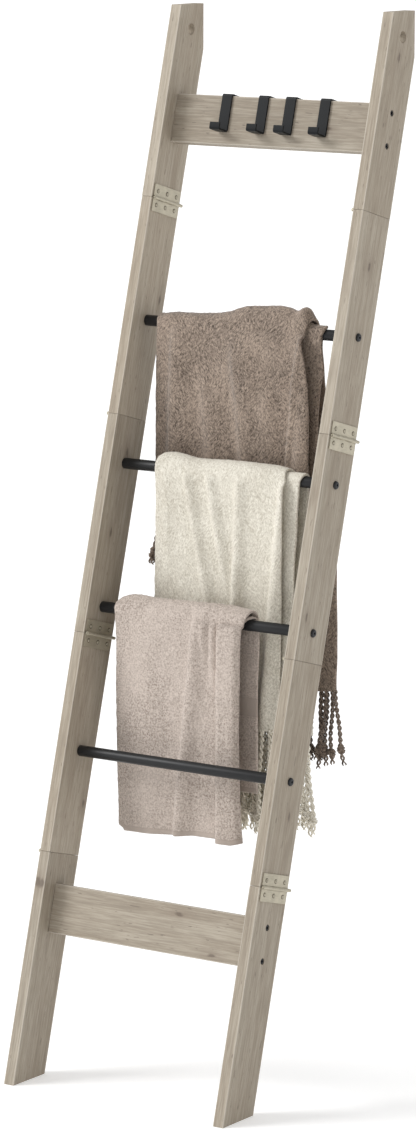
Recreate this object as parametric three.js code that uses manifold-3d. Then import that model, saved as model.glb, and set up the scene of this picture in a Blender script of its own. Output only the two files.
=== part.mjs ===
// A leaning ladder rack for blankets: two hinged wooden rails, two cross boards, four steel rungs
// and four hooks, with two folded throws and a towel hanging over three of the rungs.
//
// Millimetres, +Z up. X runs along the rungs and +Y points to the wall that the rack leans on.
// The origin is on the floor, half-way between the rails and half-way from their toes to the wall.
// Sections, hinges and rungs are numbered from the floor up, hooks from left to right.

import * as THREE from "three";
import { mergeVertices } from "three/addons/utils/BufferGeometryUtils.js";
import Module from "manifold-3d";

const wasm = await Module();
wasm.setup();

// Driving dimensions of the rack.
const HEIGHT = 1800; // floor to the top of the rails
const REACH = 560; // front toes of the rails to the wall, along the floor
const LEAN = THREE.MathUtils.degToRad(15.3); // rails' lean from upright
const WIDTH = 450; // over the outer faces of the rails
const RAIL = { thick: 20, deep: 86 };
const BOARD = { thick: 24, tall: 84, boltSpacing: 56 };
const GAP = 0.3; // clearance between pieces that touch

// Places along a rail, measured up its front edge from the floor.
const JOINTS = [400, 777.4, 1154.8, 1532.2];
const RUNGS = [578, 826.8, 1075.6, 1324.4];
const BOARDS = { bottom: 306.5, top: 1676 };
const TOP_HOLE = { along: 1833, depth: 41, radius: 10 };

// Small parts.
const RUNG = { radius: 9.5, wall: 1.2, plug: 12 };
const BOLT = { shank: 3, hole: 3.3, socket: 2, socketDeep: 2 };
const RUNG_BOLT = { head: 7, tall: 3.8, reach: 32 };
const BOARD_BOLT = { head: 5.2, tall: 5, reach: 55, counterbore: 5.6, recess: 1.5 };
const HINGE = { length: 77, leaf: 23.5, plate: 1.6, knuckles: 5, knuckle: 3.2, bore: 1.9, pin: 1.5, sides: 8 };
const HINGE_PIN_HEAD = { radius: 2.8, length: 8 };
const HOOK = { bar: 3, width: 20, drop: 64, back: 28, arm: 25, lip: 11, bend: 2.5, clear: 0.5 };
const HOOKS = [-100, -25, 30, 100];

// Soft goods. "left" and "right" are the edges along X. The drops run down from the rung's centre.
const CLOTH_THICK = 14;
const FRINGE_THICK = 8;
const THROWS = [
  { name: "brown_throw", rung: 4, left: -173, right: 177, front: 296, back: 608, fringe: 138 },
  { name: "cream_throw", rung: 3, left: -131, right: 175, front: 426, back: 434, fringe: 185 },
  { name: "taupe_towel", rung: 2, left: -166, right: 110, front: 380, back: 290, fringe: 0 },
];

// Worked out from the driving dimensions.
const INNER = WIDTH / 2 - RAIL.thick; // centre line to a rail's inner face
const MIDDLE = RAIL.deep / 2; // depth of the rungs, boards and bolts in the rails
const BOARD_BOLT_SEAT = WIDTH / 2 - BOARD_BOLT.tall - BOARD_BOLT.recess + GAP; // under the head
const SIDES = { left: -1, right: 1 };

function finish(color, roughness, metalness) {
  return new THREE.MeshStandardMaterial({ color, roughness, metalness });
}

const railWood = finish(0xa69c8f, 0.75, 0);
const boardWood = finish(0x9f9587, 0.75, 0);
const blackSteel = finish(0x2c2d30, 0.5, 0.6);
const paleBrass = finish(0xb9b1a0, 0.45, 0.8);
const clothFinish = {
  brown_throw: finish(0x87766a, 0.95, 0),
  cream_throw: finish(0xd7d0c3, 0.95, 0),
  taupe_towel: finish(0xb9aca2, 0.95, 0),
};

/** A closed geometry as a solid that can be joined and cut. */
function solidOf(geometry) {
  const bare = geometry.clone();
  bare.deleteAttribute("normal");
  bare.deleteAttribute("uv");
  const merged = mergeVertices(bare, 1e-4);
  const corners = merged.index.array;
  const kept = [];
  for (let i = 0; i < corners.length; i += 3) {
    const [a, b, c] = corners.subarray(i, i + 3);
    if (a !== b && b !== c && c !== a) kept.push(a, b, c);
  }
  const vertProperties = merged.attributes.position.array;
  const triVerts = new Uint32Array(kept);
  return new wasm.Manifold(new wasm.Mesh({ numProp: 3, vertProperties, triVerts }));
}

function geometryOf(solid) {
  const { vertProperties, triVerts } = solid.getMesh();
  const geometry = new THREE.BufferGeometry();
  geometry.setAttribute("position", new THREE.BufferAttribute(vertProperties, 3));
  geometry.setIndex(new THREE.BufferAttribute(triVerts, 1));
  geometry.computeVertexNormals();
  return geometry;
}

const joined = (geometries) => geometryOf(geometries.map(solidOf).reduce((a, b) => a.add(b)));

function cut(geometry, cutters) {
  return geometryOf(cutters.map(solidOf).reduce((a, b) => a.subtract(b), solidOf(geometry)));
}

function piece(name, geometry, material) {
  const mesh = new THREE.Mesh(geometry, material);
  mesh.name = name;
  return mesh;
}

/** A side outline, drawn as depth across and height up, given a width along X about x = 0. */
function acrossRack(shape, width) {
  const geometry = new THREE.ExtrudeGeometry(shape, {
    depth: width,
    bevelEnabled: false,
    curveSegments: 8,
  });
  const [x, y, z] = [new THREE.Vector3(1, 0, 0), new THREE.Vector3(0, 1, 0), new THREE.Vector3(0, 0, 1)];
  geometry.translate(0, 0, -width / 2);
  return geometry.applyMatrix4(new THREE.Matrix4().makeBasis(y, z, x));
}

/** A round bar or hole cutter along X, from x = start to x = end, in the rack's leaning frame. */
function crossBar(radius, start, end, depth, along, sides = 12) {
  const geometry = new THREE.CylinderGeometry(radius, radius, end - start, sides);
  geometry.rotateZ(-Math.PI / 2);
  return geometry.translate((start + end) / 2, depth, along);
}

/** A turned piece whose profile, [radius, x] from the lowest x up, is spun about the X axis. */
function turned(profile, sides) {
  const points = profile.map(([radius, x]) => new THREE.Vector2(radius, x));
  return new THREE.LatheGeometry(points, sides).rotateZ(-Math.PI / 2);
}

// ---- Rails -------------------------------------------------------------------------------------

/** A rail section's side outline, as [depth, along] points. The end sections carry the slanting
    cuts that stand flat on the floor, lie flat against the wall and level off the top. */
function sectionOutline(number) {
  const [sin, cos, tan] = [Math.sin(LEAN), Math.cos(LEAN), Math.tan(LEAN)];
  const lowest = number === 1;
  const highest = number === JOINTS.length + 1;
  const from = lowest ? 0 : JOINTS[number - 2] + GAP / 2;
  const to = highest ? HEIGHT / cos : JOINTS[number - 1] - GAP / 2;
  const foot = lowest ? RAIL.deep * tan : from;
  const outline = [[0, from], [RAIL.deep, foot]];
  if (highest) {
    outline.push([RAIL.deep, (REACH - RAIL.deep * cos) / sin]);
    outline.push([REACH * cos - HEIGHT * sin, REACH * sin + HEIGHT * cos]);
  } else {
    outline.push([RAIL.deep, to]);
  }
  outline.push([0, to]);
  return outline.map(([depth, along]) => new THREE.Vector2(depth, along));
}

/** Where the two bolts of a cross board pass through a rail. */
function boardBolts(board) {
  return [-1, 1].map((end) => BOARDS[board] + (end * BOARD.boltSpacing) / 2);
}

/** Every hole in one rail, as cutters with the place along the rail that they belong to. */
function railHoles(side) {
  const outer = (side * WIDTH) / 2;
  const inner = side * INNER;
  const through = [Math.min(outer, inner) - 1, Math.max(outer, inner) + 1];
  const sunk = [outer - side * (BOARD_BOLT.tall + BOARD_BOLT.recess), outer + side];
  sunk.sort((a, b) => a - b);
  const holes = RUNGS.map((along) => ({ along, cutter: crossBar(BOLT.hole, ...through, MIDDLE, along) }));
  for (const along of [...boardBolts("bottom"), ...boardBolts("top")]) {
    holes.push({ along, cutter: crossBar(BOLT.hole, ...through, MIDDLE, along) });
    holes.push({ along, cutter: crossBar(BOARD_BOLT.counterbore, ...sunk, MIDDLE, along) });
  }
  const top = crossBar(TOP_HOLE.radius, ...through, TOP_HOLE.depth, TOP_HOLE.along, 20);
  holes.push({ along: TOP_HOLE.along, cutter: top });
  return holes;
}

function railSection(sideName, number) {
  const side = SIDES[sideName];
  const outline = sectionOutline(number);
  const [from, to] = [outline[0].y, outline.at(-1).y];
  const blank = acrossRack(new THREE.Shape(outline), RAIL.thick);
  blank.translate((side * (WIDTH - RAIL.thick)) / 2, 0, 0);
  const holes = railHoles(side).filter(({ along }) => along > from && along < to);
  const geometry = cut(blank, holes.map(({ cutter }) => cutter));
  return piece(`${sideName}_rail_${number}`, geometry, railWood);
}

// ---- Boards, rungs and their bolts ----------------------------------------------------------------

function crossBoard(name) {
  const length = 2 * (INNER - GAP);
  const blank = new THREE.BoxGeometry(length, BOARD.thick, BOARD.tall);
  blank.translate(0, MIDDLE, BOARDS[name]);
  const bores = [];
  for (const along of boardBolts(name)) {
    for (const side of Object.values(SIDES)) {
      const ends = [side * (WIDTH / 2 + 1), side * (BOARD_BOLT_SEAT - BOARD_BOLT.reach - 2)];
      ends.sort((a, b) => a - b);
      bores.push(crossBar(BOLT.hole, ...ends, MIDDLE, along));
    }
  }
  return piece(`${name}_board`, cut(blank, bores), boardWood);
}

/** A steel tube with a plug in each end, bored for the bolt that holds it between the rails. */
function rung(number) {
  const half = INNER - GAP;
  const hollow = RUNG.radius - RUNG.wall;
  const profile = [
    [BOLT.hole, -half],
    [RUNG.radius, -half],
    [RUNG.radius, half],
    [BOLT.hole, half],
    [BOLT.hole, half - RUNG.plug],
    [hollow, half - RUNG.plug],
    [hollow, RUNG.plug - half],
    [BOLT.hole, RUNG.plug - half],
    [BOLT.hole, -half],
  ];
  const mesh = piece(`rung_${number}`, turned(profile, 20), blackSteel);
  mesh.position.set(0, MIDDLE, RUNGS[number - 1]);
  return mesh;
}

/** A bolt along X: the seat under its head at x = 0, its shank towards -X and a socket in its head. */
function bolt(name, { head, tall, reach }, crown) {
  const profile = [
    [0, -reach],
    [BOLT.shank, -reach],
    [BOLT.shank, 0],
    [head, 0],
    [head, tall * 0.4],
    [crown, tall],
    [BOLT.socket, tall],
    [BOLT.socket, tall - BOLT.socketDeep],
    [0, tall - BOLT.socketDeep],
  ];
  return piece(name, turned(profile, 10), blackSteel);
}

/** A bolt turned so that its head is on the outside of its rail. */
function placeBolt(mesh, side, seat, along) {
  mesh.rotation.y = side < 0 ? Math.PI : 0;
  mesh.position.set(side * seat, MIDDLE, along);
  return mesh;
}

function rungBolt(sideName, number) {
  const mesh = bolt(`${sideName}_rung_bolt_${number}`, RUNG_BOLT, RUNG_BOLT.head * 0.6);
  return placeBolt(mesh, SIDES[sideName], WIDTH / 2 + GAP, RUNGS[number - 1]);
}

function boardBoltPiece(sideName, board, level, along) {
  const mesh = bolt(`${sideName}_${board}_board_bolt_${level}`, BOARD_BOLT, BOARD_BOLT.head * 0.9);
  return placeBolt(mesh, SIDES[sideName], BOARD_BOLT_SEAT, along);
}

// ---- Hinges ----------------------------------------------------------------------------------------

/** One leaf of a butt hinge. The pin lies along Y through [axis, 0, 0] and the face that carries
    the hinge is x = 0. The bored leaf hangs below the pin. The other one stands above it, with the
    pin fixed in its knuckles. */
function hingeLeaf(name, pinned) {
  const up = pinned ? 1 : -1;
  const axis = HINGE.knuckle + GAP;
  const clear = HINGE.knuckle + GAP;
  const pitch = HINGE.length / HINGE.knuckles;
  const plateX = GAP + HINGE.plate / 2;
  const plate = new THREE.BoxGeometry(HINGE.plate, HINGE.length, HINGE.leaf - clear);
  plate.translate(plateX, 0, (up * (HINGE.leaf + clear)) / 2);
  const parts = [plate];
  for (let i = pinned ? 1 : 0; i < HINGE.knuckles; i += 2) {
    const y = (i + 0.5) * pitch - HINGE.length / 2;
    const length = pitch - GAP;
    const tab = new THREE.BoxGeometry(HINGE.plate, length, clear);
    tab.translate(plateX, y, up * (clear / 2 + 1.5));
    parts.push(tab, barrel(pinned ? 0 : HINGE.bore, length).translate(axis, y, 0));
  }
  if (pinned) parts.push(...hingePin().map((part) => part.translate(axis, 0, 0)));
  return piece(name, joined(parts), paleBrass);
}

/** A knuckle along Y, bored unless the bore is 0. */
function barrel(bore, length) {
  const [low, high] = [-length / 2, length / 2];
  const profile = [[bore, low], [HINGE.knuckle, low], [HINGE.knuckle, high], [bore, high]];
  if (bore > 0) profile.push([bore, low]);
  return new THREE.LatheGeometry(profile.map(([r, y]) => new THREE.Vector2(r, y)), HINGE.sides);
}

/** The pin and the rounded head on its rear end. */
function hingePin() {
  const { radius, length } = HINGE_PIN_HEAD;
  const seat = HINGE.length / 2 + GAP;
  const shank = new THREE.CylinderGeometry(HINGE.pin, HINGE.pin, HINGE.length + 2, HINGE.sides);
  const head = new THREE.LatheGeometry(
    [[0, 0], [radius, 0], [radius, length - 2], [radius / 2, length], [0, length]].map(
      ([r, y]) => new THREE.Vector2(r, seat + y),
    ),
    HINGE.sides,
  );
  return [shank, head];
}

/** Hinges are on the outer faces at the odd joints and on the inner faces at the even ones. */
function hinge(sideName, number) {
  const side = SIDES[sideName];
  const outside = number % 2 === 1;
  const group = new THREE.Group();
  const faces = outside ? side : -side;
  const [above, below] = faces > 0 ? ["upper", "lower"] : ["lower", "upper"];
  group.add(hingeLeaf(`${sideName}_hinge_${number}_${above}_leaf`, true));
  group.add(hingeLeaf(`${sideName}_hinge_${number}_${below}_leaf`, false));
  group.rotation.y = faces > 0 ? 0 : Math.PI;
  group.position.set(side * (outside ? WIDTH / 2 : INNER), MIDDLE, JOINTS[number - 1]);
  return group;
}

// ---- Hooks -------------------------------------------------------------------------------------------

/** The outline of a flat bar bent round at each inner point of its centre line. */
function bentBar(points, thick, bend) {
  const centre = [];
  points.forEach((point, i) => {
    const [before, after] = [points[i - 1], points[i + 1]];
    if (!before || !after) {
      centre.push(point);
      return;
    }
    const start = point.clone().add(before.clone().sub(point).setLength(bend));
    const end = point.clone().add(after.clone().sub(point).setLength(bend));
    centre.push(...new THREE.QuadraticBezierCurve(start, point, end).getPoints(3));
  });
  const offset = (distance) =>
    centre.map((point, i) => {
      const before = centre[Math.max(i - 1, 0)];
      const after = centre[Math.min(i + 1, centre.length - 1)];
      const along = after.clone().sub(before).normalize();
      return new THREE.Vector2(point.x - along.y * distance, point.y + along.x * distance);
    });
  return new THREE.Shape([...offset(thick / 2), ...offset(-thick / 2).reverse()]);
}

/** A hook of bent flat bar: down behind the top board, over its edge, down its face, out and up. */
function hook(number) {
  const half = HOOK.bar / 2 + HOOK.clear;
  const front = MIDDLE - BOARD.thick / 2 - half;
  const rear = MIDDLE + BOARD.thick / 2 + half;
  const top = BOARDS.top + BOARD.tall / 2 + half;
  const bottom = top - HOOK.drop;
  const line = [
    [rear, top - HOOK.back],
    [rear, top],
    [front, top],
    [front, bottom],
    [front - HOOK.arm, bottom],
    [front - HOOK.arm, bottom + HOOK.lip],
  ].map(([depth, along]) => new THREE.Vector2(depth, along));
  const mesh = piece(`hook_${number}`, acrossRack(bentBar(line, HOOK.bar, HOOK.bend), HOOK.width), blackSteel);
  mesh.position.x = HOOKS[number - 1];
  return mesh;
}

// ---- Soft goods --------------------------------------------------------------------------------------

/** The lower end of a hanging panel, from its left face to its right face: the hem, and the
    thinner curtain of its fringe. */
function panelEnd(left, right, hem, fringe) {
  if (fringe === 0) return [[left, hem], [right, hem]];
  const middle = (left + right) / 2;
  const [near, far] = [middle - FRINGE_THICK / 2, middle + FRINGE_THICK / 2];
  return [[left, hem], [near, hem], [near, hem - fringe], [far, hem - fringe], [far, hem], [right, hem]];
}

/** A folded cloth over a rung, hanging straight down before and behind it. */
function drapedCloth({ name, rung: number, left, right, front, back, fringe }) {
  const inner = RUNG.radius + 2 * GAP;
  const outer = inner + CLOTH_THICK;
  const outline = [
    ...panelEnd(inner, outer, -back, fringe),
    ...arcPoints(outer, 0, Math.PI),
    ...panelEnd(-outer, -inner, -front, fringe),
    ...arcPoints(inner, Math.PI, 0),
  ].map(([y, z]) => new THREE.Vector2(y, z));
  const mesh = piece(name, acrossRack(new THREE.Shape(outline), right - left), clothFinish[name]);
  const along = RUNGS[number - 1];
  mesh.position.set(
    (left + right) / 2,
    along * Math.sin(LEAN) + MIDDLE * Math.cos(LEAN) - REACH / 2,
    along * Math.cos(LEAN) - MIDDLE * Math.sin(LEAN),
  );
  return mesh;
}

function arcPoints(radius, from, to, steps = 12) {
  return Array.from({ length: steps + 1 }, (_, i) => {
    const angle = from + ((to - from) * i) / steps;
    return [radius * Math.cos(angle), radius * Math.sin(angle)];
  });
}

// ---- The whole rack ------------------------------------------------------------------------------------

const leaning = new THREE.Group();
leaning.position.y = -REACH / 2;
leaning.rotation.x = -LEAN;
for (const sideName of Object.keys(SIDES)) {
  for (let number = 1; number <= JOINTS.length + 1; number++) leaning.add(railSection(sideName, number));
  for (let number = 1; number <= JOINTS.length; number++) leaning.add(hinge(sideName, number));
  for (let number = 1; number <= RUNGS.length; number++) leaning.add(rungBolt(sideName, number));
  for (const board of Object.keys(BOARDS)) {
    const [low, high] = boardBolts(board);
    leaning.add(boardBoltPiece(sideName, board, "lower", low));
    leaning.add(boardBoltPiece(sideName, board, "upper", high));
  }
}
for (const board of Object.keys(BOARDS)) leaning.add(crossBoard(board));
for (let number = 1; number <= RUNGS.length; number++) leaning.add(rung(number));
for (let number = 1; number <= HOOKS.length; number++) leaning.add(hook(number));

const rack = new THREE.Group();
rack.add(leaning);
for (const cloth of THROWS) rack.add(drapedCloth(cloth));

export default rack;
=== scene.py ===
"""The looks of a leaning ladder rack with two plush throws and a towel, over its CAD frame."""

import math

import bmesh
import bpy
import numpy as np
from mathutils import Matrix, Vector


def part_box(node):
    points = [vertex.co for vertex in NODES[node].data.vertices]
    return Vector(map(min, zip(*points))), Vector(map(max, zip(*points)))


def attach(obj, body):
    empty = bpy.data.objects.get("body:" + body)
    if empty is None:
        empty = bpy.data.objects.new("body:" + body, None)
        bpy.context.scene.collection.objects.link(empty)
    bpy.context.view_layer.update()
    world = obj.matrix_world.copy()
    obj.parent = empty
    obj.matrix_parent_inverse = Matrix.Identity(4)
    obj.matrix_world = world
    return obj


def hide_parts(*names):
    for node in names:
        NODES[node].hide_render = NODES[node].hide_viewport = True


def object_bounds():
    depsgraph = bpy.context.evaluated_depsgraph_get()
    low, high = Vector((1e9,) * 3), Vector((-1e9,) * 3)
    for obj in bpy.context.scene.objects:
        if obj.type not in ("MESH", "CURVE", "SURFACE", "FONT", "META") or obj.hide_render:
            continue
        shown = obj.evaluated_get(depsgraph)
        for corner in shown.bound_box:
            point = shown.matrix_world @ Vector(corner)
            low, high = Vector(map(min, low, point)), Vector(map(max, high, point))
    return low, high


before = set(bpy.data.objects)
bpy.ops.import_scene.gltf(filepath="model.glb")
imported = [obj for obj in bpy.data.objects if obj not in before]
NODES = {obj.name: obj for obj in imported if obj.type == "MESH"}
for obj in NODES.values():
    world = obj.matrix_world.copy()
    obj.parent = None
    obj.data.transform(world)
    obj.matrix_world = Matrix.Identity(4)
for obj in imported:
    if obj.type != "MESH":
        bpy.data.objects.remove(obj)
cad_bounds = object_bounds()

MM = 0.001
SIDES = ("left", "right")
WHITE = (1, 1, 1, 1)


# ---- Places in the frame -----------------------------------------------------


def centre(node):
    low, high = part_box(node)
    return (low + high) / 2


def leaning_frame():
    """The rack's own axes: X across, Y into the rack's depth and Z up along the rails, with the
    origin on the lowest rung's centre line. Returns the matrix from these axes to the world."""
    lowest, highest = centre("rung_1"), centre("rung_4")
    up = (highest - lowest).normalized()
    across = Vector((1, 0, 0))
    depth = up.cross(across)
    axes = Matrix((across, depth, up)).transposed().to_4x4()
    return Matrix.Translation(Vector((0, lowest.y, lowest.z))) @ axes


LEANING = leaning_frame()
UPRIGHT = LEANING.inverted()
LEAN = math.atan2(LEANING[1][2], LEANING[2][2])


def leaning_box(node):
    """Lowest and highest corners of a CAD node, in the leaning axes."""
    points = np.array([UPRIGHT @ v.co for v in NODES[node].data.vertices])
    return Vector(points.min(0)), Vector(points.max(0))


# ---- Meshes ------------------------------------------------------------------


def new_piece(name, vertices, faces, smooth=True):
    mesh = bpy.data.meshes.new(name)
    mesh.from_pydata([tuple(v) for v in vertices], [], [tuple(f) for f in faces])
    mesh.validate()
    piece = bpy.data.objects.new(name, mesh)
    bpy.context.scene.collection.objects.link(piece)
    if smooth:
        mesh.polygons.foreach_set("use_smooth", [True] * len(mesh.polygons))
    return piece


def finish_piece(piece, material, body, replaced=()):
    piece.data.materials.clear()
    piece.data.materials.append(material)
    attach(piece, body)
    if replaced:
        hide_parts(*replaced)
    return piece


def eased_copy(node, radius, segments=2, angle=30):
    """A copy of a CAD node's mesh with its edges sharper than angle, in degrees, rounded over."""
    mesh = NODES[node].data.copy()
    mesh.materials.clear()
    work = bmesh.new()
    work.from_mesh(mesh)
    bmesh.ops.remove_doubles(work, verts=work.verts, dist=1e-6)
    flat = math.radians(2)
    bmesh.ops.dissolve_limit(work, angle_limit=flat, verts=work.verts, edges=work.edges)
    least = math.radians(angle)
    sharp = [e for e in work.edges if len(e.link_faces) == 2 and e.calc_face_angle() > least]
    bmesh.ops.bevel(work, geom=sharp, offset=radius, segments=segments, profile=0.5,
                    affect="EDGES", clamp_overlap=True)
    work.to_mesh(mesh)
    work.free()
    piece = bpy.data.objects.new(node + "_finished", mesh)
    bpy.context.scene.collection.objects.link(piece)
    mesh.polygons.foreach_set("use_smooth", [True] * len(mesh.polygons))
    mesh.set_sharp_from_angle(angle=math.radians(50))
    piece.modifiers.new("flat_faces", "WEIGHTED_NORMAL").keep_sharp = True
    return piece


def lathe(profile, sides):
    """Vertices and faces of a profile of (radius, height) points spun about Z, with flat ends."""
    vertices, faces = [], []
    for radius, height in profile:
        for i in range(sides):
            angle = 2 * math.pi * i / sides
            vertices.append(Vector((radius * math.cos(angle), radius * math.sin(angle), height)))
    for ring in range(len(profile) - 1):
        for i in range(sides):
            a, b = ring * sides + i, ring * sides + (i + 1) % sides
            faces.append((a, b, b + sides, a + sides))
    last = (len(profile) - 1) * sides
    faces.append(tuple(range(sides - 1, -1, -1)))
    faces.append(tuple(range(last, last + sides)))
    return vertices, faces


def joined_parts(parts):
    """One list of vertices and one of faces from several (vertices, faces) parts."""
    vertices, faces = [], []
    for part_vertices, part_faces in parts:
        start = len(vertices)
        vertices += list(part_vertices)
        faces += [tuple(start + i for i in face) for face in part_faces]
    return vertices, faces


def moved(part, matrix):
    vertices, faces = part
    return [matrix @ Vector(v) for v in vertices], faces


# ---- Node helpers for materials ----------------------------------------------


class Nodes:
    """A material's node tree, with short calls for the nodes that the finishes here use."""

    def __init__(self, name):
        self.material = bpy.data.materials.new(name)
        self.material.use_nodes = True
        self.tree = self.material.node_tree
        self.shader = self.tree.nodes["Principled BSDF"]

    def add(self, kind, **settings):
        node = self.tree.nodes.new(kind)
        for key, value in settings.items():
            setattr(node, key, value)
        return node

    def link(self, source, socket):
        if isinstance(source, (int, float, tuple)):
            socket.default_value = source
        else:
            self.tree.links.new(source, socket)

    def place(self, scale=(1, 1, 1), turn=(0, 0, 0), shift=(0, 0, 0)):
        """The world's points at rest, turned, moved and then scaled."""
        points = self.add("ShaderNodeTexCoord").outputs["Object"]
        turned = self.add("ShaderNodeMapping", vector_type="POINT")
        turned.inputs["Rotation"].default_value = turn
        turned.inputs["Location"].default_value = shift
        self.link(points, turned.inputs["Vector"])
        scaled = self.add("ShaderNodeVectorMath", operation="MULTIPLY")
        self.link(turned.outputs[0], scaled.inputs[0])
        scaled.inputs[1].default_value = scale
        return scaled.outputs[0]

    def noise(self, points, scale, detail, rough=0.5, distortion=0.0):
        node = self.add("ShaderNodeTexNoise")
        self.link(points, node.inputs["Vector"])
        node.inputs["Scale"].default_value = scale
        node.inputs["Detail"].default_value = detail
        node.inputs["Roughness"].default_value = rough
        node.inputs["Distortion"].default_value = distortion
        return node.outputs["Fac"]

    def cells(self, points, scale, randomness=1.0, **settings):
        node = self.add("ShaderNodeTexVoronoi", **settings)
        self.link(points, node.inputs["Vector"])
        node.inputs["Scale"].default_value = scale
        node.inputs["Randomness"].default_value = randomness
        return node.outputs

    def math(self, operation, a, b=0.0):
        node = self.add("ShaderNodeMath", operation=operation)
        self.link(a, node.inputs[0])
        self.link(b, node.inputs[1])
        return node.outputs[0]

    def spread(self, value, low, high, start=0.0, end=1.0):
        """value from low..high taken to start..end, and held there."""
        node = self.add("ShaderNodeMapRange", clamp=True)
        sockets = ("Value", "From Min", "From Max", "To Min", "To Max")
        for socket, number in zip(sockets, (value, low, high, start, end)):
            self.link(number, node.inputs[socket])
        return node.outputs[0]

    def between(self, amount, a, b):
        """The number amount of the way from a to b."""
        node = self.add("ShaderNodeMix", data_type="FLOAT")
        for socket, number in ((0, amount), (2, a), (3, b)):
            self.link(number, node.inputs[socket])
        return node.outputs[0]

    def vector(self, operation, *values):
        node = self.add("ShaderNodeVectorMath", operation=operation)
        for socket, value in zip(node.inputs, values):
            self.link(value, socket)
        return node.outputs[0]

    def axes(self, points):
        """The points' X, Y and Z, by name."""
        node = self.add("ShaderNodeSeparateXYZ")
        self.link(points, node.inputs[0])
        return node.outputs

    def within(self, value, low, high, soft):
        """1 where value is between low and high, fading to 0 over soft on both sides."""
        rise = self.spread(value, low - soft, low + soft)
        return self.math("MULTIPLY", rise, self.spread(value, high - soft, high + soft, 1.0, 0.0))

    def mix(self, amount, a, b):
        """The colour amount of the way from a to b."""
        node = self.add("ShaderNodeMix", data_type="RGBA")
        self.link(amount, node.inputs["Factor"])
        for socket, color in ((6, a), (7, b)):
            self.link((*color, 1.0) if isinstance(color, tuple) else color, node.inputs[socket])
        return node.outputs[2]

    def bump(self, height, strength, distance):
        node = self.add("ShaderNodeBump")
        self.link(height, node.inputs["Height"])
        node.inputs["Strength"].default_value = strength
        node.inputs["Distance"].default_value = distance
        return node.outputs["Normal"]

    def finish(self, color, roughness, normal=None, **uniform):
        self.link(color, self.shader.inputs["Base Color"])
        self.link(roughness, self.shader.inputs["Roughness"])
        if normal is not None:
            self.link(normal, self.shader.inputs["Normal"])
        for socket, value in uniform.items():
            self.shader.inputs[socket.replace("_", " ")].default_value = value
        return self.material


# ---- Finishes ----------------------------------------------------------------


def edge_highlight_mask(n, low, high, along, width):
    """Where a leaning piece of wood's long edges are, for the painted highlight along them: 1 on them, 0
    away from them.
    """
    upright = n.place(turn=(LEAN, 0, 0), shift=tuple(UPRIGHT.translation))
    middle, half = (low + high) / 2, (high - low) / 2
    from_middle = n.vector("ABSOLUTE", n.vector("SUBTRACT", upright, tuple(middle)))
    past = n.axes(n.vector("SUBTRACT", from_middle, tuple(half - Vector((width, width, width)))))
    crossways = [past[axis] for axis in "XYZ" if axis != along]
    return n.spread(n.math("MINIMUM", *crossways), 0.0, 0.5 * width)


WOOD_TONES = (  # light, dark and warm wood, and the dark lines of its fibres
    (0.436, 0.382, 0.304), (0.342, 0.289, 0.224), (0.325, 0.270, 0.203), (0.220, 0.180, 0.138))
PALE_FIBRE = (0.53, 0.475, 0.395)
KNOT = (0.115, 0.085, 0.064)
KNOT_HALO = (0.225, 0.175, 0.132)
TICK = (0.13, 0.10, 0.08)
# Colour and width of the painted highlight along the eased edges.
PAINTED_EDGE_HIGHLIGHT = (0.60, 0.55, 0.47)
EDGE_HIGHLIGHT_WIDTH = 2.0 * MM
KNOT_CELLS = 16.0  # per metre across the grain
CELLS_WITHOUT_KNOT = 0.62


def knots(n, places, ragged, along):
    """Small oval knots on the wide faces, and the darker wood around each."""
    face = n.add("ShaderNodeCombineXYZ")
    for socket, axis in zip("XY", "XZ" if along == "X" else "YZ"):
        n.link(places[axis], face.inputs[socket])
    spot = n.cells(face.outputs[0], KNOT_CELLS, voronoi_dimensions="2D")
    ragged = n.math("MULTIPLY", n.math("SUBTRACT", ragged, 0.5), 0.16)
    reach = n.math("ADD", spot["Distance"], ragged)
    chosen = n.math("GREATER_THAN", spot["Color"], CELLS_WITHOUT_KNOT)
    knot = n.math("MULTIPLY", n.spread(reach, 0.02, 0.065, 1.0, 0.0), chosen)
    halo = n.math("MULTIPLY", n.spread(reach, 0.03, 0.24, 1.0, 0.0), chosen)
    return knot, halo


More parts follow.
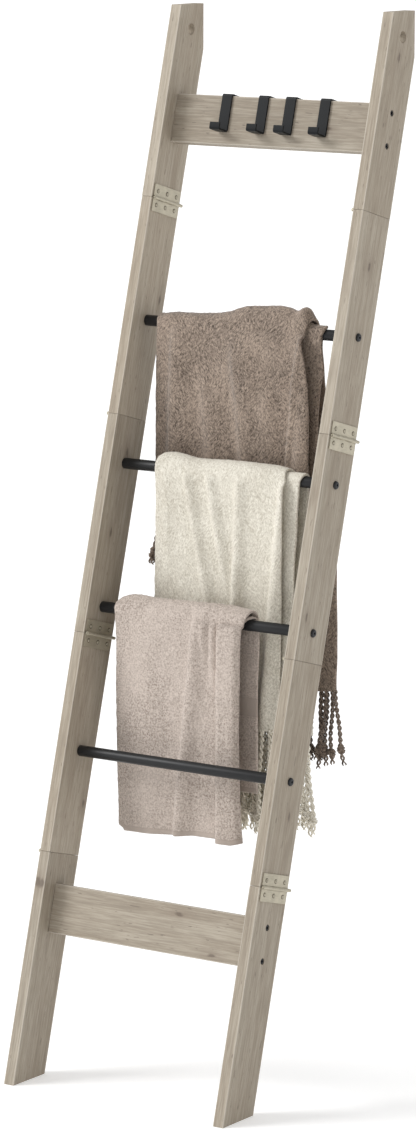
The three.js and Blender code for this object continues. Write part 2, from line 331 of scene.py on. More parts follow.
def wood(name, seed, low, high, along, pale):
    """Weathered greige wood: streaks and fine fibres along the grain, small knots, dark ticks and a
    painted highlight along the eased edges. low and high are the piece's corners in the leaning axes."""
    n = Nodes(name)
    draw = np.random.default_rng(seed)
    shift, turn = tuple(draw.uniform(-9, 9, 3)), (LEAN, 0, 0)

    def stretched(share):
        """Points for marks that are 1 / share times as long along the grain as across it."""
        scale = tuple(share if axis == along else 1 for axis in "XYZ")
        return n.place(scale=scale, turn=turn, shift=shift)

    grain, short_grain = stretched(0.045), stretched(0.16)
    ragged = n.noise(short_grain, 170, detail=3, rough=0.7)
    knot, halo = knots(n, n.axes(stretched(0.4)), ragged, along)

    streaks = n.noise(grain, 48, detail=4, rough=0.55, distortion=0.5)
    clouds = n.noise(short_grain, 13, detail=4, rough=0.6)
    fibres = n.noise(grain, 380, detail=3, rough=0.7)
    ticks = n.noise(short_grain, 360, detail=1, rough=0.4)

    shade = pale * draw.uniform(0.90, 1.01)
    light, dark, warm, fibre = (tuple(shade * k for k in tone) for tone in WOOD_TONES)
    tone = n.mix(n.spread(streaks, 0.34, 0.66), dark, light)
    tone = n.mix(n.spread(clouds, 0.42, 0.64, 0.0, 0.6), tone, warm)
    tone = n.mix(n.spread(fibres, 0.54, 0.36, 0.0, 0.45), tone, fibre)
    tone = n.mix(n.spread(fibres, 0.52, 0.68, 0.0, 0.32), tone, PALE_FIBRE)
    tone = n.mix(n.spread(halo, 0.1, 1.0, 0.0, 0.40), tone, KNOT_HALO)
    tone = n.mix(n.spread(ticks, 0.715, 0.75, 0.0, 0.6), tone, TICK)
    tone = n.mix(n.spread(knot, 0.1, 0.9, 0.0, 0.68), tone, KNOT)
    # A painted highlight along the eased edges, where they would catch the light.
    edges = edge_highlight_mask(n, low, high, along, EDGE_HIGHLIGHT_WIDTH)
    tone = n.mix(n.math("MULTIPLY", edges, 0.55), tone, PAINTED_EDGE_HIGHLIGHT)
    height = n.math("SUBTRACT", fibres, n.spread(ticks, 0.715, 0.75, 0.0, 0.8))
    normal = n.bump(height, 0.3, 0.4 * MM)
    return n.finish(tone, n.spread(streaks, 0.3, 0.7, 0.74, 0.60), normal)


DUST = (0.09, 0.09, 0.09)


def powder_coat(name, color, shine):
    """Black powder coat on steel: satin, with fine orange peel and the pale specks of dust."""
    n = Nodes(name)
    points = n.place()
    peel = n.noise(points, 900, detail=2)
    cloud = n.noise(points, 14, detail=3)
    tone = n.mix(n.spread(cloud, 0.35, 0.7), color, tuple(1.35 * c for c in color))
    specks = n.spread(n.noise(points, 2300, detail=1), 0.72, 0.8, 0.0, 0.3)
    tone = n.mix(specks, tone, DUST)
    normal = n.bump(peel, 0.3, 0.08 * MM)
    return n.finish(tone, n.spread(cloud, 0.3, 0.7, 0.36, 0.48), normal, Specular_IOR_Level=shine)


def brushed_brass(name, dull, bright):
    """Pale lacquered brass, brushed along the hinge, duller where fingers and dust settle."""
    n = Nodes(name)
    lines = n.noise(n.place(scale=(1, 0.05, 1), turn=(LEAN, 0, 0)), 1500, detail=2)
    cloud = n.noise(n.place(), 60, detail=3)
    tone = n.mix(n.spread(cloud, 0.3, 0.7), dull, bright)
    tone = n.mix(n.spread(lines, 0.4, 0.6, 0.0, 0.25), tone, tuple(1.18 * k for k in bright))
    normal = n.bump(lines, 0.15, 0.1 * MM)
    return n.finish(tone, n.spread(cloud, 0.3, 0.7, 0.34, 0.46), normal, Metallic=0.5)


def tufted(n, size):
    """Short strokes of pile, size across, that lean to the left in some patches and to the right in
    others."""
    leaning = []
    for side in (-1, 1):
        points = n.place(scale=(1, 0.8, 0.42), turn=(0.1, side * 0.55, 0))
        leaning.append(n.noise(points, 1 / size, detail=1.5, rough=0.6))
    patches = n.spread(n.noise(n.place(), 26, detail=2, distortion=0.8), 0.44, 0.56)
    return n.between(patches, *leaning)


def plush(name, dark, light, size=2.5 * MM, pile=1.0, brushing_and_shading=0.5):
    """Short brushed pile: tufts that lean this way and that, in soft light and dark patches: partly
    where it was stroked, partly painted light and shade standing for broad folds.
    """
    n = Nodes(name)
    tufts = tufted(n, size)
    fine = n.noise(n.place(), 560, detail=2, rough=0.6)
    hanging = n.place(scale=(1, 1, 0.6), turn=(0, 0.3, 0))
    brushed_and_shaded = n.noise(hanging, 20, detail=3, rough=0.55, distortion=0.4)
    height = n.math("ADD", n.math("MULTIPLY", tufts, 0.75), n.math("MULTIPLY", fine, 0.25))
    # Broad light and dark patches: brushed pile, and partly painted light and shade of folds.
    stroked_and_shaded = n.math("MULTIPLY", n.math("SUBTRACT", brushed_and_shaded, 0.5), brushing_and_shading)
    tone = n.mix(n.spread(n.math("ADD", height, stroked_and_shaded), 0.34, 0.66), dark, light)
    normal = n.bump(height, 0.8 * pile, 1.2 * MM)
    return n.finish(tone, 0.95, normal, Sheen_Weight=0.25, Sheen_Roughness=0.5)


RIB_PITCH = 2.4 * MM


def terry(name, dark, light, flat_bands):
    """Looped towelling. flat_bands are the (low, high) distances over the rung that are woven flat,
    with fine ribs."""
    n = Nodes(name)
    points = n.place()
    loops = n.cells(n.place(scale=(1, 1, 0.75)), 420, randomness=0.8)["Distance"]
    tufts = n.noise(points, 330, detail=2, rough=0.6)
    height = n.math("SUBTRACT", tufts, n.math("MULTIPLY", loops, 0.25))
    over = n.add("ShaderNodeAttribute", attribute_name="over_rung").outputs["Fac"]
    flat = 0.0
    for low, high in flat_bands:
        flat = n.math("MAXIMUM", flat, n.within(over, low, high, 1.5 * MM))
    ribs = n.math("SINE", n.math("MULTIPLY", over, 2 * math.pi / RIB_PITCH))
    height = n.between(flat, height, n.math("MULTIPLY", ribs, 0.04))
    patches = n.noise(n.place(scale=(1, 1, 0.5)), 16, detail=3)
    tone = n.mix(n.spread(height, 0.18, 0.52), dark, light)
    flat_tone = tuple(0.4 * a + 0.6 * b for a, b in zip(dark, light))
    tone = n.mix(n.math("MULTIPLY", flat, 0.6), tone, flat_tone)
    tone = n.mix(n.spread(patches, 0.46, 0.66, 0.0, 0.35), tone, tuple(1.08 * c for c in light))
    normal = n.bump(height, 0.8, 1.4 * MM)
    return n.finish(tone, 0.95, normal, Sheen_Weight=0.2, Sheen_Roughness=0.5)


def pale_floor():
    """A floor as white as the picture's background, which it gives off a little light to reach."""
    n = Nodes("pale_floor")
    grain = n.noise(n.place(), 3, detail=2)
    tone = n.mix(n.spread(grain, 0.3, 0.7), (0.93, 0.93, 0.93), (0.95, 0.95, 0.95))
    return n.finish(tone, 0.9, Emission_Color=WHITE, Emission_Strength=0.28)


# ---- Camera, light and floor -------------------------------------------------

VIEW = {"azimuth": 34.586, "elevation": 9.746, "roll": 0.131, "distance": 7.5926}
FOCAL_LENGTH = 143.57  # on a sensor whose 36 mm side is the picture's long side
AIM_BELOW_CENTRE = 0.0242
SKY_STRENGTH = 0.62  # overhead
HORIZON_STRENGTH = 1.05  # as white as the floor
HORIZON_BAND = (0.02, 0.10)  # height of the direction over which the horizon fades into the sky
KEY_STRENGTH = 1.95
KEY_SOFTNESS = 28  # degrees across
TO_KEY_LIGHT = (-0.70, -0.52, 0.60)
FLOOR_HALF = 60.0


def add_camera():
    azimuth, elevation, roll = (math.radians(VIEW[k]) for k in ("azimuth", "elevation", "roll"))
    back = Vector((math.sin(azimuth) * math.cos(elevation),
                   -math.cos(azimuth) * math.cos(elevation),
                   math.sin(elevation)))
    right = Vector((math.cos(azimuth), math.sin(azimuth), 0))
    up = back.cross(right)
    turned_right = right * math.cos(roll) + up * math.sin(roll)
    turned_up = up * math.cos(roll) - right * math.sin(roll)
    low, high = (Vector(corner) for corner in cad_bounds)
    aim = (low + high) / 2 - Vector((0, 0, AIM_BELOW_CENTRE))
    data = bpy.data.cameras.new("camera")
    data.lens = FOCAL_LENGTH
    data.sensor_width = 36
    data.clip_end = 200
    camera = bpy.data.objects.new("camera", data)
    axes = Matrix((turned_right, turned_up, back)).transposed().to_4x4()
    camera.matrix_world = Matrix.Translation(aim + back * VIEW["distance"]) @ axes
    bpy.context.scene.collection.objects.link(camera)
    bpy.context.scene.camera = camera


def add_studio():
    world = bpy.data.worlds.new("studio")
    bpy.context.scene.world = world
    world.use_nodes = True
    tree = world.node_tree
    direction = tree.nodes.new("ShaderNodeTexCoord").outputs["Generated"]
    split = tree.nodes.new("ShaderNodeSeparateXYZ")
    tree.links.new(direction, split.inputs[0])
    sky = tree.nodes.new("ShaderNodeMapRange")
    tree.links.new(split.outputs["Z"], sky.inputs["Value"])
    sky.inputs["From Min"].default_value, sky.inputs["From Max"].default_value = HORIZON_BAND
    sky.inputs["To Min"].default_value = HORIZON_STRENGTH
    sky.inputs["To Max"].default_value = SKY_STRENGTH
    tree.links.new(sky.outputs[0], tree.nodes["Background"].inputs["Strength"])
    tree.nodes["Background"].inputs["Color"].default_value = WHITE
    sun = bpy.data.lights.new("key", "SUN")
    sun.energy = KEY_STRENGTH
    sun.angle = math.radians(KEY_SOFTNESS)
    key = bpy.data.objects.new("key", sun)
    key.rotation_euler = Vector(TO_KEY_LIGHT).to_track_quat("Z", "Y").to_euler()
    bpy.context.scene.collection.objects.link(key)
    corners = [(x * FLOOR_HALF, y * FLOOR_HALF, 0) for x, y in ((-1, -1), (1, -1), (1, 1), (-1, 1))]
    floor = new_piece("floor", corners, [(0, 1, 2, 3)], smooth=False)
    floor.data.materials.append(pale_floor())
    bpy.context.scene.view_settings.view_transform = "Standard"


# ---- The rack ----------------------------------------------------------------


# How pale a length of wood is beside the others, which are 1. The upper left rails are made paler as
# painted light, for the brighter light near the top; the top board is darker.
PALENESS_AND_PAINTED_LIGHT = {"left_rail_5": 1.15, "left_rail_4": 1.12, "left_rail_3": 1.05, "top_board": 0.94}

# How far the edges are rounded over.
WOOD_EASE = 1.3 * MM
RUNG_EASE = 0.8 * MM
HOOK_EASE = 0.5 * MM
LEAF_EASE = 0.3 * MM


def add_wood():
    rails = [(f"{side}_rail_{number}", "Z", "rail_wood") for side in SIDES for number in range(1, 6)]
    boards = [(f"{board}_board", "X", "board_wood") for board in ("bottom", "top")]
    for seed, (node, along, slot) in enumerate(rails + boards):
        material = wood(f"wood_{node}", seed, *leaning_box(node), along, PALENESS_AND_PAINTED_LIGHT.get(node, 1.0))
        finish_piece(eased_copy(node, WOOD_EASE), material, "rack", [node])


def add_rungs():
    for number in range(1, 5):
        node = f"rung_{number}"
        low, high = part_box(node)
        radius = (high.z - low.z) / 2
        length = high.x - low.x
        profile = [(radius - RUNG_EASE, 0), (radius - 0.3 * RUNG_EASE, 0.3 * RUNG_EASE),
                   (radius, RUNG_EASE)]
        profile += [(r, length - z) for r, z in reversed(profile)]
        start = Matrix.Translation((low.x, centre(node).y, centre(node).z))
        turn = Matrix.Rotation(math.pi / 2, 4, "Y")
        piece = new_piece(f"{node}_tube", *moved(lathe(profile, 64), start @ turn))
        piece.data.set_sharp_from_angle(angle=math.radians(50))
        finish_piece(piece, RUNG_BLACK, "rack", [node])


def bolt_head(radius, tall, crown, socket):
    """A round bolt head from z = 0 up, rounded over, with a hexagon socket in its top."""
    sides = 48
    steps = [i / 6 for i in range(7)]
    profile = [(radius, 0)]
    profile += [(crown + (radius - crown) * math.cos(t * math.pi / 2),
                 0.25 * tall + 0.75 * tall * math.sin(t * math.pi / 2)) for t in steps]
    vertices, faces = lathe(profile, sides)
    faces = faces[:-1]
    ring = (len(profile) - 1) * sides
    hexagon = len(vertices)
    for level in (tall, 0.35 * tall):
        for i in range(sides):
            angle = 2 * math.pi * i / sides
            within = (angle % (math.pi / 3)) - math.pi / 6
            reach = socket * math.cos(math.pi / 6) / math.cos(within)
            vertices.append(Vector((reach * math.cos(angle), reach * math.sin(angle), level)))
    for start, end in ((ring, hexagon), (hexagon, hexagon + sides)):
        for i in range(sides):
            j = (i + 1) % sides
            faces.append((start + i, start + j, end + j, end + i))
    faces.append(tuple(range(hexagon + sides, hexagon + 2 * sides)))
    return vertices, faces


# Bolt heads: radius, height, radius of the flat crown and of the hexagon socket, in mm.
RUNG_BOLT_HEAD = (7.0, 3.8, 4.2, 2.5)
BOARD_BOLT_HEAD = (5.2, 5.0, 4.6, 2.6)
SHANK_RADIUS = 3.0 * MM


def add_bolt(node, outward, sizes):
    radius, tall, crown, socket = (size * MM for size in sizes)
    low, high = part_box(node)
    outer, inner = (high.x, low.x) if outward > 0 else (low.x, high.x)
    place = Vector((outer - outward * tall, centre(node).y, centre(node).z))
    head = bolt_head(radius, tall, crown, socket)
    shank = lathe([(SHANK_RADIUS, -abs(place.x - inner)), (SHANK_RADIUS, 0.1 * MM)], 24)
    turn = Matrix.Rotation(outward * math.pi / 2, 4, "Y")
    bolt = moved(joined_parts([head, shank]), Matrix.Translation(place) @ turn)
    piece = new_piece(f"{node}_finished", *bolt)
    piece.data.set_sharp_from_angle(angle=math.radians(40))
    finish_piece(piece, BOLT_BLACK, "rack", [node])


def add_bolts():
    for side in SIDES:
        outward = -1 if side == "left" else 1
        for number in range(1, 5):
            add_bolt(f"{side}_rung_bolt_{number}", outward, RUNG_BOLT_HEAD)
        for board in ("bottom", "top"):
            for level in ("lower", "upper"):
                add_bolt(f"{side}_{board}_board_bolt_{level}", outward, BOARD_BOLT_HEAD)


def add_hooks():
    for number in range(1, 5):
        node = f"hook_{number}"
        piece = eased_copy(node, HOOK_EASE, angle=50)
        finish_piece(piece, HOOK_BLACK, node, [node])


SCREW_SPACING = 27.5 * MM
SCREW_INSET = 11.5 * MM  # from a leaf's outer edge

# Profiles as radius and height over the leaf, in mm.
SCREW_SEAT = ((3.9, -0.2), (3.9, 0.12), (3.6, 0.2), (2.4, 0.2))
SCREW_HEAD = ((2.7, 0.0), (2.7, 0.45), (2.3, 0.95), (1.5, 1.2), (1.0, 1.2), (0.8, 0.5))


def add_screws(node, outward, level):
    """Three domed screws in one hinge leaf, each on a countersunk seat ring whose dark brass is painted
    shade, the shadow in the countersink.
    """
    low, high = leaning_box(node)
    edge, inset = (high.z, -SCREW_INSET) if level == "upper" else (low.z, SCREW_INSET)
    points = [UPRIGHT @ v.co for v in NODES[node].data.vertices]
    plate = [p for p in points if abs(p.z - edge) < 1 * MM]
    face = outward * max(outward * p.x for p in plate)
    middle = (min(p.y for p in plate) + max(p.y for p in plate)) / 2
    heads, painted_shade_seats = [], []
    turn = Matrix.Rotation(outward * math.pi / 2, 4, "Y")
    for along in (-SCREW_SPACING, 0, SCREW_SPACING):
        place = Matrix.Translation((face, middle + along, edge + inset)) @ turn
        for parts, profile in ((painted_shade_seats, SCREW_SEAT), (heads, SCREW_HEAD)):
            parts.append(moved(lathe([(r * MM, h * MM) for r, h in profile], 28), place))
    # The seat rings get dark brass as painted shade of the countersinks.
    for name, parts, material in (("painted_shade_seats", painted_shade_seats, SEAT_PAINTED_SHADE), ("screws", heads, BRASS)):
        piece = new_piece(f"{node}_{name}", *moved(joined_parts(parts), LEANING))
        piece.data.set_sharp_from_angle(angle=math.radians(50))
        finish_piece(piece, material, "rack")


def add_hinges():
    for side in SIDES:
        for number in range(1, 5):
            outside = number % 2 == 1
            outward = 1 if (side == "right") == outside else -1
            for level in ("upper", "lower"):
                node = f"{side}_hinge_{number}_{level}_leaf"
                leaf = eased_copy(node, LEAF_EASE, segments=1, angle=40)
                finish_piece(leaf, BRASS, "rack", [node])
                add_screws(node, outward, level)


# ---- Cloth -------------------------------------------------------------------
# Cloth is worked out in millimetres. "over" is the distance over the top of the rung, negative in
# front. "across" is X. Each cloth is folded once along its left side: the outer layer faces away
# from the rung, the inner one lies on it, and both free edges are on the right.

TURN_LENGTH = 30.0  # from the top of the rung to where the cloth hangs straight, along the cloth
LAYER_GAP = 7.0  # between the middles of the two layers where they lie flat
RIM_STEPS = (0.0, 0.5, 1.6, 3.4)  # places of the first grid lines in from an edge
RIM_SHARES = (0.25, 0.72, 0.95)  # thickness there, as a share of the full one
FOLD_LENGTH = 400.0  # the drop over which a fold's line runs from its top to its foot
REST_GAP = 0.6  # between the inner layer and its rung
INNER_WAVES = 0.6  # how far the inner layer stands away from that in its waves
LEAST_TOP = 10.0  # over the rung's centre
FLAT_TOP = 22.0  # a top higher than this has bumps in it, and the inner layer follows those
WAVE_COUNT = 14  # waves that are added up for one ripple
TUFT_HEIGHT = 0.45  # how uneven the pile makes a cloth's surface
LONE_CORDS = 9.0  # the cords this near the hem's right end hang clear of the bundles
CORD_SIDES = 6
CORD_STEP = 1.7
CORD_SWAY = (10.0, 4.0)  # how far a cord's end hangs from straight below, in X and Y


def curve(points, where):
    """A smooth line through the (place, value) points, level beyond its ends."""
    xs, ys = (np.array(p, float) for p in zip(*points))
    slopes = np.gradient(ys, xs) if len(xs) > 2 else np.zeros(len(xs))
    slopes[0] = slopes[-1] = 0.0
    where = np.clip(where, xs[0], xs[-1])
    k = np.clip(np.searchsorted(xs, where) - 1, 0, len(xs) - 2)
    span = xs[k + 1] - xs[k]
    t = (where - xs[k]) / span
    rise = ys[k] * (2 * t**3 - 3 * t**2 + 1) + ys[k + 1] * (3 * t**2 - 2 * t**3)
    return rise + span * (slopes[k] * (t**3 - 2 * t**2 + t) + slopes[k + 1] * (t**3 - t**2))


def step(value, low, high):
    t = np.clip((value - low) / (high - low), 0, 1)
    return t * t * (3 - 2 * t)


def ripples(a, b, wavelength, seed):
    """Smooth random waves of about one wavelength over the two coordinates, mostly within -1 to 1."""
    draw = np.random.default_rng(seed)
    total = np.zeros(np.broadcast(a, b).shape)
    for _ in range(WAVE_COUNT):
        angle, phase = draw.uniform(0, 2 * np.pi, 2)
        k = 2 * np.pi / (wavelength * draw.uniform(0.7, 1.5))
        total += np.sin(k * (np.cos(angle) * a + np.sin(angle) * b) + phase)
    return total * 1.6 / WAVE_COUNT**0.5 / 1.4


def fold(across, drop, top, foot, left, right, high, start=0.0, end=2000.0):
    """A hanging fold whose ridge runs from X = top at the rung to X = foot, FOLD_LENGTH lower.
    left and right are its half widths, and start and end the drops between which it stands out."""
    ridge = top + (foot - top) * drop / FOLD_LENGTH
    wide = np.where(across < ridge, left, right)
    shape = np.exp(-((across - ridge) / wide) ** 2)
    fade = step(drop, start - 45, start + 20) * (1 - step(drop, end - 60, end + 60))
    return high * shape * fade


def pleat(across, drop, top, foot, high, sharp):
    """A pressed pleat: to the right of its line the cloth lies higher, and sharp is how near."""
    line = top + (foot - top) * drop / FOLD_LENGTH
    return high * step(across, line - sharp, line + sharp)


def spaced(length, grid):
    """Places from 0 to length, about grid apart but close together at the ends for a rounded rim."""
    inner = np.linspace(RIM_STEPS[-1], length - RIM_STEPS[-1], max(2, round(length / grid)))
    rim = np.array(RIM_STEPS[:-1])
    return np.concatenate([rim, inner, length - rim[::-1]])


def eased(values):
    """A grid of values, each drawn half way to its four neighbours."""
    beside = sum(np.roll(values, way, axis) for axis in (0, 1) for way in (1, -1))
    return 0.5 * values + 0.125 * beside


def shell_faces(shape):
    """Faces of a closed shell: a grid of the given shape, a copy below it and a rim between them."""
    index = np.arange(shape[0] * shape[1]).reshape(shape)
    a, b, c, d = index[:-1, :-1], index[1:, :-1], index[1:, 1:], index[:-1, 1:]
    above = np.stack([a, d, c, b], -1).reshape(-1, 4)
    below = np.stack([a, b, c, d], -1).reshape(-1, 4) + index.size
    border = np.concatenate([index[:-1, 0], index[-1, :-1], index[:0:-1, -1], index[0, :0:-1]])
    after = np.roll(border, -1)
    rim = np.stack([border, after, after + index.size, border + index.size], -1)
    return np.concatenate([above, below, rim])


class DrapedCloth:
    """A folded cloth over a rung: points[i, j] runs i across both layers and j over the rung.

    Its look says, in (place, value) points, the X of an edge over the rung ("fold_left",
    "outer_right", "inner_right"), the height of the cloth's top over the rung's centre across X
    ("top") and how much longer the front hangs across X ("hem"). The rest is:
    "grid": how far apart the points are, across and over the rung
    "loose", "ruffle": how wavy the cloth is, and how uneven its hems
    "inner_rise": the inner layer's share of the bumps of the top
    "edge_share", "edge_reach": how much of a fold is left at the free edge, and how near that starts
    "turn_in": the drop over which the folds begin
    "flat_below": the drop from which the front lies flat behind the cloth below it
    "fringe", "ply": the length of a fringe cord, and the radius of each of its two plies
    "flare", "flare_power": how far the cords at the left and right ends lean out to the right, and
    how close to the ends that stays
    "bundle": how wide the bundles of cords are, how they draw together and how every other one leans
    """

    def __init__(self, node, look):
        self.node, self.look = node, look
        rung = look["rung"]
        self.hub = centre(rung) / MM
        low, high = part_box(rung)
        self.rung_radius = (high.z - low.z) / 2 / MM
        points = np.array([v.co for v in NODES[node].data.vertices]) / MM
        in_front = points[:, 1] < self.hub.y
        fringe = look.get("fringe", 0.0)
        self.front = self.hub.z - points[in_front, 2].min() - fringe
        self.back = self.hub.z - points[~in_front, 2].min() - fringe
        self.build()

    def rows(self):
        """The grid lines' places over the rung, from the front hem to the back one."""
        grid = self.look["grid"][1]
        down = spaced(self.front + TURN_LENGTH, grid)
        rows_front = -(self.front + TURN_LENGTH) + down[down < self.front - 2]
        turn = np.linspace(-TURN_LENGTH, TURN_LENGTH, 29)
        behind = spaced(self.back + TURN_LENGTH, grid)
        rows_back = np.sort(self.back + TURN_LENGTH - behind[behind < self.back - 2])
        return np.concatenate([rows_front, turn, rows_back])

    def build(self):
        look = self.look
        over = self.rows()
        outer_right = curve(look["outer_right"], over)
        inner_right = curve(look["inner_right"], over)
        fold_left = curve(look["fold_left"], over)
        wide_outer = float(outer_right.mean() - fold_left.mean())
        wide_inner = float(inner_right.mean() - fold_left.mean())
        grid = look["grid"][0]
        outer = spaced(wide_outer, grid)[: -len(RIM_STEPS)] / wide_outer
        inner = 1 - spaced(wide_inner, grid)[: -len(RIM_STEPS)][::-1] / wide_inner
        bend = np.linspace(0, np.pi, 11)[1:-1]

        drop = np.clip(np.abs(over) - TURN_LENGTH, 0, None)
        in_front = over < 0
        angle = np.clip((over + TURN_LENGTH) / (2 * TURN_LENGTH), 0, 1) * np.pi

        # The outer layer, the folded edge and the inner layer: where each is across, and how far
        # its middle stands out from the rung.
        across_o = outer_right + outer[:, None] * (fold_left - outer_right)
        lift_o = self.outer_lift(across_o, drop, in_front, fold_left, outer_right)
        across_i = fold_left + inner[:, None] * (inner_right - fold_left)
        base_i = look["thick"] / 2 + REST_GAP
        waves = 1 + ripples(across_i, over, 70, look["seed"] + 5)
        lift_i = base_i + INNER_WAVES * waves * step(drop, 0, 60)
        across_b = fold_left - LAYER_GAP / 2 * np.sin(bend)[:, None]
        lift_b = base_i + LAYER_GAP / 2 * (1 + np.cos(bend)[:, None] + 0 * over)
        across = np.concatenate([across_o, across_b, across_i])
        lift = np.concatenate([lift_o + base_i, lift_b, lift_i])
        shares = np.ones(len(outer)), (1 + np.cos(bend)) / 2, np.zeros(len(inner))
        outer_share = np.concatenate(shares)[:, None]

        height_o = np.maximum(curve(look["top"], across) - look["thick"] / 2, LEAST_TOP)
        raised = look["inner_rise"] * np.clip(height_o - FLAT_TOP, 0, None)
        height_i = self.rung_radius + base_i + raised
        height = height_i + outer_share * (height_o - height_i)
        hem = np.interp(across, *zip(*look["hem"])) if "hem" in look else 0 * across
        stretch = np.where(in_front, 1 + hem / self.front, 1.0)
        ruffle = look["ruffle"] * ripples(across, 0 * across, 90, look["seed"] + 9)
        stretch = stretch + ruffle * step(drop, 100, 300) / max(self.front, self.back)
        down = drop * stretch

        y = self.hub.y - (self.rung_radius + lift) * np.cos(angle)
        z = self.hub.z + height * np.sin(angle) - down
        self.points = np.stack([across, y, z], axis=-1)
        self.over = np.broadcast_to(over, across.shape)

    def outer_lift(self, across, drop, in_front, left, right):
        """How far the outer layer's middle stands out from the inner layer's."""
        look = self.look
        front = np.zeros(np.broadcast(across, drop).shape)
        behind = front.copy()
        for kind, settings in look["folds"]:
            front += kind(across, drop, **settings)
        for kind, settings in look["back_folds"]:
            behind += kind(across, drop, **settings)
        waves = 1 + ripples(across, drop, 110, look["seed"])
        crumple = 1 + ripples(across, drop, 38, look["seed"] + 1)
        soft = (0.9 * waves + 0.45 * crumple) * look["loose"]
        lift = np.where(in_front, front, behind) + soft * step(drop, 0, 50)
        if "flat_below" in look:
            pressed = 0.75 * step(drop, look["flat_below"], look["flat_below"] + 60)
            lift *= np.where(in_front, 1 - pressed, 1)
        share, reach = look["edge_share"], look["edge_reach"]
        lift *= step(across, left, left + 26) * (share + (1 - share) * step(right - across, 0, reach))
        return LAYER_GAP + lift * step(drop, -1, look["turn_in"])

    def normals(self):
        along = np.gradient(self.points, axis=1)
        across = np.gradient(self.points, axis=0)
        normal = np.cross(along, across)
        return normal / np.linalg.norm(normal, axis=-1, keepdims=True)

    def add(self, material, slot, yarn=None):
        """Adds the cloth, one closed mesh with rounded rims, and its fringes if it has yarn."""
        points, normal = self.points, self.normals()
        shape = points.shape[:2]
        taper = np.ones(shape)
        for k, share in enumerate(RIM_SHARES):
            for line in (k, -1 - k):
                taper[line, :] = np.minimum(taper[line, :], share)
                taper[:, line] = np.minimum(taper[:, line], share)
        draw = np.random.default_rng(self.look["seed"] + 20)
        tufts = [eased(draw.normal(0, 1, shape)) for _ in range(2)]
        half = self.look["thick"] / 2
        top = points + normal * (taper * (half + TUFT_HEIGHT * tufts[0]))[..., None]
        bottom = points - normal * (taper * (half + TUFT_HEIGHT * tufts[1]))[..., None]
        vertices = np.concatenate([top.reshape(-1, 3), bottom.reshape(-1, 3)]) * MM
        piece = new_piece(f"{self.node}_cloth", vertices, shell_faces(shape))
        layer = piece.data.attributes.new("over_rung", "FLOAT", "POINT")
        layer.data.foreach_set("value", np.tile(self.over.reshape(-1), 2) * MM)
        finish_piece(piece, material, self.node, [self.node])
        ends = ("front", "back") if yarn is not None else ()
        fringes = [self.add_fringe(end, yarn) for end in ends]

    def add_fringe(self, end, yarn):
        """The row of twisted cords that hangs from one hem."""
        look = self.look
        row = self.points[:, 1] if end == "front" else self.points[:, -2]
        walk = np.concatenate([[0], np.cumsum(np.linalg.norm(np.diff(row, axis=0), axis=-1))])
        draw = np.random.default_rng(look["seed"] + (40 if end == "front" else 60))
        count = round(walk[-1] / look["cord_spacing"])
        vertices, faces, start = [], [], 0
        for k in range(count):
            place = (k + 0.5) * walk[-1] / count + draw.uniform(-5, 5)
            root = np.array([np.interp(place, walk, row[:, axis]) for axis in range(3)])
            # -1 at the left end of the hem, 1 at the right one
            from_middle = 2 * (root[0] - row[:, 0].min()) / np.ptp(row[:, 0]) - 1
            from_middle = min(1.0, max(-1.0, 1.06 * from_middle))
            flare = look["flare"][end][int(from_middle > 0)]
            flare *= abs(from_middle) ** look["flare_power"]
            loose = 1 - 0.8 * from_middle**6
            inward = row[:, 0].max() - LONE_CORDS - root[0]
            if inward > 0:  # cords draw together in bundles, and every other bundle leans left
                bundle = look["bundle"]
                number, within = divmod(inward, bundle["wide"])
                flare += bundle["pull"] * (within - bundle["wide"] / 2)
                flare -= bundle["lean"] * (1 - number % 2)
            cord = twisted_cord(root, look["fringe"], look["ply"], draw, flare, loose)
            vertices.append(cord[0])
            faces.append(cord[1] + start)
            start += len(cord[0])
        name = f"{self.node}_{end}_fringe"
        piece = new_piece(name, np.concatenate(vertices) * MM, np.concatenate(faces))
        return finish_piece(piece, yarn, self.node)


def swept(path, radii):
    """Vertices and faces of an open tube along a nearly upright path, with a radius at each point."""
    sides = CORD_SIDES
    turn = np.arange(sides) * 2 * np.pi / sides
    ring = np.stack([np.cos(turn), np.sin(turn), 0 * turn], -1)
    vertices = (path[:, None] + radii[:, None, None] * ring[None]).reshape(-1, 3)
    row = np.arange(sides)
    first = (np.arange(len(path) - 1) * sides)[:, None]
    quads = np.stack([first + row, first + (row + 1) % sides,
                      first + sides + (row + 1) % sides, first + sides + row], -1)
    return vertices, quads.reshape(-1, 4)


